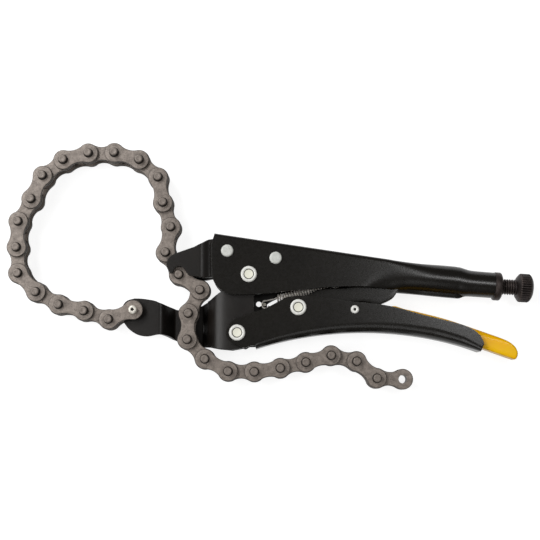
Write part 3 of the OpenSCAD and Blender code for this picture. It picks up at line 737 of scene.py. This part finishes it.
# Sections as radius and height pairs, with the flute's depth and the wear at each pair.
SHANK_SECTION = [(0, 0), (POINT_R, 0), (SCREW_R - 0.2, 2), (SCREW_R, 2.6),
                 (SCREW_R, TIP_REACH - THREAD_TRAVEL)]
KNOB_SECTION = [(SCREW_R, 0), (SCREW_R + 1.0, 0.05), (SCREW_R + 1.6, 0.3), (KNOB_R - 1.0, 1.3),
                (KNOB_R - 0.35, 1.8), (KNOB_R, 2.3), (KNOB_R, 2.6), (KNOB_R, 5), (KNOB_R, 7.2),
                (KNOB_R, 7.4), (KNOB_R - 0.35, 8), (KNOB_R - 1.0, 8.6), (KNOB_R - 1.9, 9.2),
                (KNOB_R - 2.8, KNOB_L), (KNOB_R - 3.2, KNOB_L), (2.6, KNOB_L - 0.25), (0, KNOB_L - 0.3)]
KNOB_FLUTE = [0, 0, 0, 0, 0.25, 0.6, 0.65, 0.65, 0.65, 0.6, 0.25, 0, 0, 0, 0, 0, 0]
KNOB_WEAR = [0, 0, 0, 0.2, 0.5, 0.6, 0.4, 0.3, 0.4, 0.6, 0.5, 0.3, 0.1, 0, 0, 0, 0]
COLLAR_SECTION = [(COLLAR_BORE, -1.9), (COLLAR_R - 0.7, -1.9), (COLLAR_R - 0.2, -1.7), (COLLAR_R, -1.1),
                  (COLLAR_R, 1.7), (COLLAR_R - 0.4, 2.3), (COLLAR_R - 1.3, 2.8), (COLLAR_BORE + 0.3, 2.8),
                  (COLLAR_BORE, 2.5), (COLLAR_BORE, -1.9)]
COLLAR_WEAR = [0, 0, 0.3, 0.5, 0.4, 0.6, 0.4, 0, 0, 0]


def along_screw(start):
    """Point on the screw's axis, counted from the end of the tail."""
    return SCREW_AT + start * SCREW_DIR


def thread():
    """Screw surface: the radius is a cosine wave of the distance along the axis less the turn, with crests
    broadened by a power below one, and fades to plain at both ends."""
    length = THREAD_TRAVEL + COLLAR_L + THREAD_BARE
    rows = np.arange(0, length + 0.01, THREAD_PITCH / 10)
    a = np.linspace(0, 2 * math.pi, 48, endpoint=False)
    phase = rows[:, None] / THREAD_PITCH - a[None] / (2 * math.pi)
    wave = 0.5 + 0.5 * np.cos(2 * math.pi * phase)
    fade = ramp(rows, 0, THREAD_RUN_IN) * (1 - ramp(rows, length - THREAD_RUN_OUT, length))
    fade = fade[:, None]
    r = SCREW_R - THREAD_DEPTH * (1 - wave ** THREAD_POWER) * fade
    u = np.array([-SCREW_DIR[1], SCREW_DIR[0], 0])
    v = np.cross(SCREW_DIR, u)
    points = (along_screw(-THREAD_TRAVEL) + rows[:, None, None] * SCREW_DIR
              + r[..., None] * (np.cos(a)[:, None] * u + np.sin(a)[:, None] * v)[None])
    return sheet(points, wrap_v=True, wear_and_shade=wave * THREAD_WEAR * fade)


def screw():
    """Plain shank with a blunt point, then the thread, then the knob with its fluted rim."""
    shank = turned(SHANK_SECTION, along_screw(-TIP_REACH), SCREW_DIR)
    knob = turned(KNOB_SECTION, along_screw(COLLAR_L + THREAD_BARE), SCREW_DIR, sides=360, flute=KNOB_FLUTE,
                  wear_and_shade=KNOB_WEAR)
    return [shank, thread(), knob]


piece("adjusting_screw_turned", screw(), oxide, "adjusting_screw", ["adjusting_screw"])
collar = turned(COLLAR_SECTION, along_screw(0), SCREW_DIR, sides=96, wear_and_shade=COLLAR_WEAR)
piece("thread_collar_turned", [collar], oxide, "upper_handle", ["thread_collar"])


# Release lever's sleeve and the toggle link

LEVER_HALF = 5
SLEEVE_UPPER = [[82.2, -22.0], [83.4, -20.2], [85.4, -19.3], [88.6, -18.9], [91, -19.6], [95, -20.8],
                [103.2, -22.5], [120.3, -26.9], [136.6, -32.4], [150.6, -37.4], [157.6, -40.5],
                [161.4, -43.6], [162.8, -46.2], [163.1, -47.6]]
SLEEVE_ON_FLOOR = [82, 92, 104, 116, 128, 141]
SLEEVE_LIFT = 0.5
SLEEVE_TIP = [[150, -47.6], [160, -51.1], [161.6, -51.2], [162.5, -50.2], [162.9, -49]]
# Radius of the sleeve's rims, and of the upper one: places along X and the values there.
SLEEVE_RIM = 1.3
SLEEVE_UPPER_RIM = ([92, 104, 146, 158], [SLEEVE_RIM, 3.0, 3.0, SLEEVE_RIM])
# The toggle's nose stops short of the screw's point. Its web fills the gap between the cheeks.
NOSE_GAP = 0.7
NOSE_R = 3.2
CHEEK_GAP = 3.2
WEB_RIM = 0.5
CHEEK_RIM = 0.7
WEB_UPPER = [[25, -19], [27, -16], [30.6, -14.9], [38, -14.2], [46, -12.4], [60, -9.2]]
FRONT_UPPER = [[25, -19], [27, -15.9], [31, -14.4], [36, -12], [41, -9.4], [47, -8.2], [60, -7.6]]
REAR_UPPER = [[20.6, -17], [20.6, -12], [23, -9.4], [30, -8], [47, -7.6], [60, -7.2]]
TOGGLE_LOWER = [[25, -21.6], [26.6, -24], [30.6, -25.2], [38, -24], [46, -21], [58, -17.2], [70, -16.6],
                [77.4, -18.3], [82, -16.9], [84.6, -15.8], [87.4, -14.2], [89, -12.2], [90.8, -9.6]]
# Points on each long side of an outline, and those that the spine leaves out at both ends.
SIDE_POINTS = 80
SPINE_TRIM = 4


def over_floor(x, up):
    """Points above the lower handle's floor, which follows the arc of its fold."""
    x = np.asarray(x, float)
    inner = FOLD_ARC_R + LOWER_WALL
    y = FOLD_CROWN[1] - FOLD_ARC_R + np.sqrt(inner ** 2 - (x - FOLD_CROWN[0]) ** 2)
    return np.stack([x, y + up], axis=1)


def paired(upper, lower):
    """Outline from two lines that run the same way, each in as many even steps. The spine is half way
    between them, one point for both sides, and ends short of the outline."""
    upper, lower = through(upper, SIDE_POINTS), through(lower, SIDE_POINTS)
    middle = resample(((upper + lower) / 2)[SPINE_TRIM:-SPINE_TRIM], SIDE_POINTS)
    return np.vstack([lower, upper[::-1]]), np.vstack([middle, middle[::-1]])


def sleeve():
    """Dipped sleeve: a slab with rounded rims between its upper line and the channel's floor, cut nearly
    square at the tip. The upper rims are the widest where the hand lies."""
    lower = np.vstack([over_floor(SLEEVE_ON_FLOOR, SLEEVE_LIFT), SLEEVE_TIP])
    outline, spine = paired(SLEEVE_UPPER, lower)
    rim = np.interp(outline[:, 0], *SLEEVE_UPPER_RIM)
    rim[:SIDE_POINTS] = SLEEVE_RIM
    return [rounded_slab(outline, spine, -LEVER_HALF, LEVER_HALF, rim, steps=8)]


piece("release_lever_dipped_sleeve", sleeve(), vinyl, "release_lever", ["lever_sleeve"])


def toggle():
    """Link from the lower handle's rivet to the screw's point: a low web and two cheeks, each a slab with
    rounded rims, between which the spring runs. The rear cheek reaches farther to the left."""
    nose = TAIL_END - (TIP_REACH + NOSE_GAP + NOSE_R) * SCREW_DIR[:2]
    tip = [[76, -3.6], nose + [-2, 2.7], nose + [1.4, 2.6], nose + [3.0, 0]]
    under = np.vstack([TOGGLE_LOWER, [nose + [2.6, -1.8]]])
    web, front, rear = [paired(np.vstack([line, tip]), under)
                        for line in (WEB_UPPER, FRONT_UPPER, REAR_UPPER)]
    return [rounded_slab(*web, -CHEEK_GAP, CHEEK_GAP, WEB_RIM),
            rounded_slab(*front, CHEEK_GAP, LEVER_HALF, CHEEK_RIM),
            rounded_slab(*rear, -LEVER_HALF, -CHEEK_GAP, CHEEK_RIM)]


piece("toggle_link_casting", toggle(), enamel, "toggle_link", ["toggle_link"])


# Return spring

WIRE_R = 0.45
WIRE_POINTS = 900
COIL_R = 2.1
COIL_TURNS = 20
COIL_FOOT = np.array([16.6, -14.0])
HOOK_EYE = np.array([10.05, -17.63])
HOOK_EYE_R = 2.3
SPRING_POST = np.array([53.0, -5.6])
POST_R = 1.5
POST_LEG = 3.3
POST_GAP = 0.1


def spring():
    """Close helix between a wide eye round the jaw's pin and a hook round the handle's post: the radius
    rises from the axis within half a turn at both ends."""
    run = SPRING_POST - COIL_FOOT
    length = np.linalg.norm(run)
    ahead = np.array([*(run / length), 0])
    side = np.array([-ahead[1], ahead[0], 0])
    post_bend = POST_R + WIRE_R + POST_GAP
    stop = length - POST_R - POST_LEG
    t = np.linspace(0, COIL_TURNS, COIL_TURNS * 20 + 1)
    grow = np.clip(2 * np.minimum(t, COIL_TURNS - t), 0, 1)
    coil = np.stack([stop * t / COIL_TURNS, COIL_R * grow * np.cos(2 * math.pi * t),
                     COIL_R * grow * np.sin(2 * math.pi * t)], axis=1)
    post_leg = np.linspace([stop + 0.5, 0.1, 0], [length - 0.9, -post_bend * 0.97, 0], 6)
    post = np.column_stack([arc((length, 0), post_bend, 270, 510, 20), np.zeros(20)])
    line = np.vstack([coil[2:-2], post_leg, post])
    line = np.array([*COIL_FOOT, 0]) + line[:, :1] * ahead + line[:, 1:2] * side + line[:, 2:] * [0, 0, 1]
    hook = np.column_stack([arc(HOOK_EYE, HOOK_EYE_R, 340, 75, 24), np.zeros(24)])
    leg = np.linspace(hook[-1], [*(COIL_FOOT - 0.6 * ahead[:2]), 0], 9)[1:]
    return [swept(through(np.vstack([hook, leg, line]), WIRE_POINTS, steps=4), WIRE_R)]


piece("return_spring_wire", spring(), wire_steel, "upper_handle", ["return_spring"])


# Chain

PITCH = 15.875
LINKS = 30
# Plates: radius of their eyes, half height of the waist, heights over the middle plane, radius of the rims.
OUTER_EYE_R = 6.0
INNER_EYE_R = 6.3
WAIST = 4.1
OUTER_PLATE = (4.5, 6.2)
INNER_PLATE = (2.5, 4.2)
CHAIN_RIM = 0.5
# Pins: how far they reach, less far behind on the links that lie over the jaw's neck.
PIN_R = 2.5
PIN_REACH = 9.2
PIN_SHORT = 7.6
OVER_NECK = (21, 23)
# Bushes and rollers: radius, half length and radius of the rims.
BORE_R = 2.56
BUSH_R = 3.6
BUSH_HALF = 2.45
BUSH_RIM = 0.1
ROLLER_BORE_R = BUSH_R + 0.06
ROLLER_R = 5.0
ROLLER_HALF = 2.4
ROLLER_RIM = 0.4
# Ends of the pins as radius and height pairs, counted from the pin's reach, and a bead at the plate, painted dark
# as the pin's contact shadow.
PIN_END = np.array([(0, -0.16), (0.8, -0.12), (1.4, -0.03), (1.8, 0), (2.15, -0.12), (2.38, -0.36),
                    (PIN_R, -0.7)])
ANCHOR_END = np.array([(0, -0.9), (0.55, -0.9), (0.85, -0.5), (1.05, -0.06), (1.5, 0.0), (2.0, -0.08),
                       (2.38, -0.36), (PIN_R, -0.7)])
PIN_FOOT_BEAD = np.array([(PIN_R, 6.7), (2.65, 6.42), (2.95, 6.24), (3.05, 6.1), (PIN_R, 5.6)])
# Values from a pin's end to the foot of the bead: a little of the painted rim shade on the end, the sides painted
# darker as shade and the bead painted dark as the pin's contact shadow; and over the whole anchor pin, whose two
# dimples are painted dark as shade.
PIN_SHADE = [0.4] * 5 + [0.6] + [PAINTED_SHADE] * 3 + [0.6] * 2 + [0]
ANCHOR_SHADE = [PAINTED_SHADE] * 3 + [0] * 11 + [PAINTED_SHADE] * 3


def plate_outline(eye_r):
    """Figure of eight: the eye's circle, then the waist's circle that touches both eyes from outside.
    Its radius follows from the distance of the centres being the sum of the radii."""
    half = PITCH / 2
    waist_r = (half ** 2 + WAIST ** 2 - eye_r ** 2) / (2 * (eye_r - WAIST))
    touch = math.degrees(math.atan2(WAIST + waist_r, half))
    far = arc((PITCH, 0), eye_r, -(180 - touch), 180 - touch, 37)[:-1]
    top = arc((half, WAIST + waist_r), waist_r, -touch, -180 + touch, 19)[:-1]
    near = arc((0, 0), eye_r, touch, 360 - touch, 37)[:-1]
    low = arc((half, -WAIST - waist_r), waist_r, 180 - touch, touch, 19)[:-1]
    return far, top, near, low


def chain_plate(eye_r, low, high, open_eye):
    """Plate with rounded rims on its outline. The face runs in to the middle line and the eyes' centres, or
    to the rim of the open hole."""
    far, top, near, bottom = plate_outline(eye_r)
    outline = np.vstack([far, top, near, bottom])
    reach = PITCH - BORE_R if open_eye else PITCH
    x = np.concatenate([np.full(len(far), PITCH), np.linspace(reach, 0, len(top)), np.zeros(len(near)),
                        np.linspace(0, reach, len(bottom))])
    spine = np.stack([x, np.zeros(len(x))], axis=1)
    patches = []
    if open_eye:
        hole = arc((PITCH, 0), BORE_R, -180, 180, len(far) + 1)
        spine[:len(far)] = hole[:-1]
        spine[len(far)] = hole[-1]
        z = np.linspace(low, high, 3)
        patches.append(sheet(raised(np.repeat(hole[:, None], len(z), axis=1), z)))
    return patches + [rounded_slab(outline, spine, low, high, CHAIN_RIM)]


def ring_profile(inner, outer, half, edge):
    """Closed section of a tube with rounded outer rims, each a quarter circle."""
    a = np.radians(np.linspace(0, 90, 5))
    rim = np.stack([outer - edge * (1 - np.cos(a)), half - edge * (1 - np.sin(a))], axis=1)
    bore = np.array([[inner, 0], [inner, half]])
    return np.concatenate([bore, rim[::-1], rim * [1, -1], bore[::-1] * [1, -1]])


def pin_profile(reach, behind):
    """Pin with a slightly dished, riveted end and a rounded rim on both ends, and a bead at its foot that carries
    a painted contact shadow."""
    near, far = PIN_END + [0, reach], PIN_END + [0, behind]
    return np.concatenate([near, PIN_FOOT_BEAD, [[PIN_R, 0]], PIN_FOOT_BEAD[::-1] * [1, -1], far[::-1] * [1, -1]])


def anchor_profile(reach):
    """Anchor pin: the same pin with a deep centre dimple on both ends."""
    end = ANCHOR_END + [0, reach]
    return np.concatenate([end, [[PIN_R, 0]], end[::-1] * [1, -1]])


def laid(k, patches):
    """Patches of a link, laid along the line from its own pin to the next, half way up its solid's box."""
    start = joints["chain_hinge_%02d" % k]
    stop = mounts["chain_end_hole"] if k == LINKS else joints["chain_hinge_%02d" % (k + 1)]
    low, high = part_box("chain_link_%02d" % k)
    lift = (low.z + high.z) / 2 / MM - MID_Z
    ahead = (stop - start)[:2] / np.linalg.norm((stop - start)[:2])
    turn = np.array([[ahead[0], ahead[1], 0], [-ahead[1], ahead[0], 0], [0, 0, 1]])
    at = np.array([start[0], start[1], lift])
    return [(p @ turn + at, q, w) for p, q, w in patches]


def chain_link(k):
    """One link: outer plates with two pins, or inner plates with bushes and loose rollers. The first pin of
    the first link is the anchor pin, a piece of its own."""
    eye_r, (low, high) = (OUTER_EYE_R, OUTER_PLATE) if k % 2 else (INNER_EYE_R, INNER_PLATE)
    patches = chain_plate(eye_r, low, high, k == LINKS) + chain_plate(eye_r, -high, -low, k == LINKS)
    if k % 2:
        pin = pin_profile(PIN_REACH, PIN_SHORT if k in OVER_NECK else PIN_REACH)
        worn_or_shaded = PIN_SHADE + [0] + PIN_SHADE[::-1]
        for x in (PITCH,) if k == 1 else (0, PITCH):
            patches.append(turned(pin, [x, 0, 0], sides=32, wear_and_shade=worn_or_shaded))
    else:
        bush = ring_profile(BORE_R, BUSH_R, BUSH_HALF, BUSH_RIM)
        roller = ring_profile(ROLLER_BORE_R, ROLLER_R, ROLLER_HALF, ROLLER_RIM)
        # Bushes and rollers between the plates are painted all over in the shade tone.
        for x in (0, PITCH):
            patches.append(turned(bush, [x, 0, 0], sides=32, wear_and_shade=PAINTED_SHADE))
            patches.append(turned(roller, [x, 0, 0], sides=40, wear_and_shade=PAINTED_SHADE))
    return laid(k, patches)


for k in range(1, LINKS + 1):
    node = "chain_link_%02d" % k
    piece(node + "_steel", chain_link(k), chain_steel, node, [node])
anchor_pin = turned(anchor_profile(PIN_REACH), [0, 0, 0], sides=48, wear_and_shade=ANCHOR_SHADE)
piece("anchor_pin_polished", laid(1, [anchor_pin]), bright_pin, "chain_link_01", [])


# CAD solids that show as they are

STAYING = {
    turned_steel: ["hook_spacers", "jaw_spacer", "handle_spacer", "spring_post", "spring_hook_pin",
                   "lever_washers", "release_lever"],
    chain_steel: ["anchor_washers"],
}
for finish, nodes in STAYING.items():
    for node in nodes:
        frame["nodes"][node].data.materials.clear()
        frame["nodes"][node].data.materials.append(finish)


# Floor, light and camera. Lengths are in metres here, and the camera's sensor and lens in millimetres.

FLOOR_REACH = 4
WORLD_TONE = "#dedad4"
WORLD_LEVEL = 0.17
LIT_POINT = (0.02, -0.01, 0.01)
CAMERA_AT = (0.0128, -0.075, 0.61)
CAMERA_TILT = math.radians(3.5)
CAMERA_SENSOR = 36.0
CAMERA_LENS = 65.6
CAMERA_SHIFT = 0.1264
CAMERA_NEAR = 0.01

floor_mesh = bpy.data.meshes.new("floor")
floor_mesh.from_pydata([(-FLOOR_REACH, -FLOOR_REACH, 0), (FLOOR_REACH, -FLOOR_REACH, 0),
                        (FLOOR_REACH, FLOOR_REACH, 0), (-FLOOR_REACH, FLOOR_REACH, 0)], [], [(0, 1, 2, 3)])
floor_mesh.materials.append(paper)
floor = bpy.data.objects.new("floor", floor_mesh)
bpy.context.scene.collection.objects.link(floor)

world = bpy.data.worlds.new("studio")
world.use_nodes = True
world.node_tree.nodes["Background"].inputs["Color"].default_value = linear(WORLD_TONE)
world.node_tree.nodes["Background"].inputs["Strength"].default_value = WORLD_LEVEL
bpy.context.scene.world = world


def soft_box(name, at, width, height, power):
    """A rectangular lamp that looks at the lit point. Its power is in watts."""
    lamp = bpy.data.lights.new(name, "AREA")
    lamp.shape = "RECTANGLE"
    lamp.size = width
    lamp.size_y = height
    lamp.energy = power
    obj = bpy.data.objects.new(name, lamp)
    bpy.context.scene.collection.objects.link(obj)
    obj.location = at
    look = Vector(LIT_POINT) - Vector(at)
    obj.rotation_euler = look.to_track_quat("-Z", "Y").to_euler()


soft_box("right_box", (0.27, 0.075, 0.56), 0.13, 0.12, 0.55)
soft_box("upper_left_box", (-0.38, 0.40, 0.56), 0.30, 0.26, 2.8)
soft_box("lower_box", (0.03, -0.45, 0.52), 0.16, 0.36, 0.55)
soft_box("left_box", (-0.50, 0.0, 0.50), 0.35, 0.6, 2.3)

camera = bpy.data.cameras.new("camera")
camera.sensor_width = CAMERA_SENSOR
camera.sensor_fit = "HORIZONTAL"
camera.lens = CAMERA_LENS
camera.shift_y = CAMERA_SHIFT
camera.clip_start = CAMERA_NEAR
camera_object = bpy.data.objects.new("camera", camera)
bpy.context.scene.collection.objects.link(camera_object)
camera_object.location = CAMERA_AT
camera_object.rotation_euler = (CAMERA_TILT, 0, 0)
bpy.context.scene.camera = camera_object
bpy.context.scene.view_settings.view_transform = "Standard"
